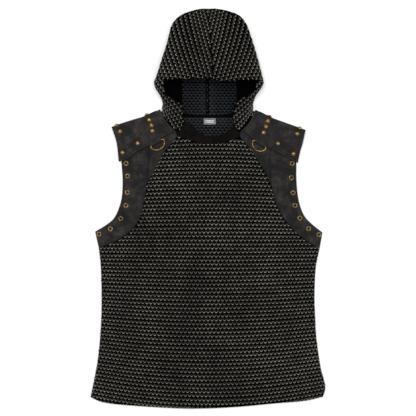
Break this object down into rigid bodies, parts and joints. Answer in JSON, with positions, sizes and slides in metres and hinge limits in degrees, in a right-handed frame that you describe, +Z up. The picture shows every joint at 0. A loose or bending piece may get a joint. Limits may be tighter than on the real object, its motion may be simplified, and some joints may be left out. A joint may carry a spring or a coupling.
{
  "type": "hooded sleeveless chainmail-look hauberk top",
  "caption": "Hooded sleeveless top in chainmail-look knit, with leather shoulder flaps and armholes, studs, eyelets and D-rings, laid flat with its front up.",
  "frame": {"origin": "on the surface the garment lies on, under the middle of its outline", "axes": "+Y runs from the hem to the hood, +X across the garment, +Z up out of its front"},
  "size_m": [0.5555, 0.9501, 0.0472],
  "materials": {
    "knit": "black knit with raised wavy metallic rows",
    "leather": "matt suede-like black leather",
    "neckband": "smooth dark brown leather",
    "brass": "antique brass",
    "label": "plain woven grey"
  },
  "bodies": {
    "garment": {"front_panel": "knit", "back_panel": "knit", "neckband": "neckband", "label": "label", "armhole_front_left": "leather", "armhole_back_left": "leather", "yoke_left": "leather", "shoulder_flap_left": "leather", "stud_strap_left": "leather", "hood_left": "knit", "stud_strap_left_1": "brass", "stud_flap_left_1": "brass", "stud_strap_left_2": "brass", "stud_flap_left_2": "brass", "stud_strap_left_3": "brass", "stud_flap_left_3": "brass", "stud_fold_left_1": "brass", "stud_fold_left_2": "brass", "eyelet_left_1": "brass", "eyelet_left_2": "brass", "eyelet_left_3": "brass", "eyelet_left_4": "brass", "eyelet_left_5": "brass", "eyelet_left_6": "brass", "eyelet_left_7": "brass", "armhole_front_right": "leather", "armhole_back_right": "leather", "yoke_right": "leather", "shoulder_flap_right": "leather", "stud_strap_right": "leather", "hood_right": "knit", "stud_strap_right_1": "brass", "stud_flap_right_1": "brass", "stud_strap_right_2": "brass", "stud_flap_right_2": "brass", "stud_strap_right_3": "brass", "stud_flap_right_3": "brass", "stud_fold_right_1": "brass", "stud_fold_right_2": "brass", "eyelet_right_1": "brass", "eyelet_right_2": "brass", "eyelet_right_3": "brass", "eyelet_right_4": "brass", "eyelet_right_5": "brass", "eyelet_right_6": "brass", "eyelet_right_7": "brass"},
    "ring_left": {"ring_left": "brass"},
    "ring_right": {"ring_right": "brass"}
  },
  "joints": [
    {"name": "ring_left_swing", "type": "hinge", "parent": "garment", "child": "ring_left", "pos_m": [-0.1216, 0.1567, 0.0081], "axis": [-0.8575, -0.5145, 0], "range_deg": [0, 160]},
    {"name": "ring_right_swing", "type": "hinge", "parent": "garment", "child": "ring_right", "pos_m": [0.1236, 0.1538, 0.0081], "axis": [-0.8492, 0.5281, 0], "range_deg": [0, 160]}
  ]
}
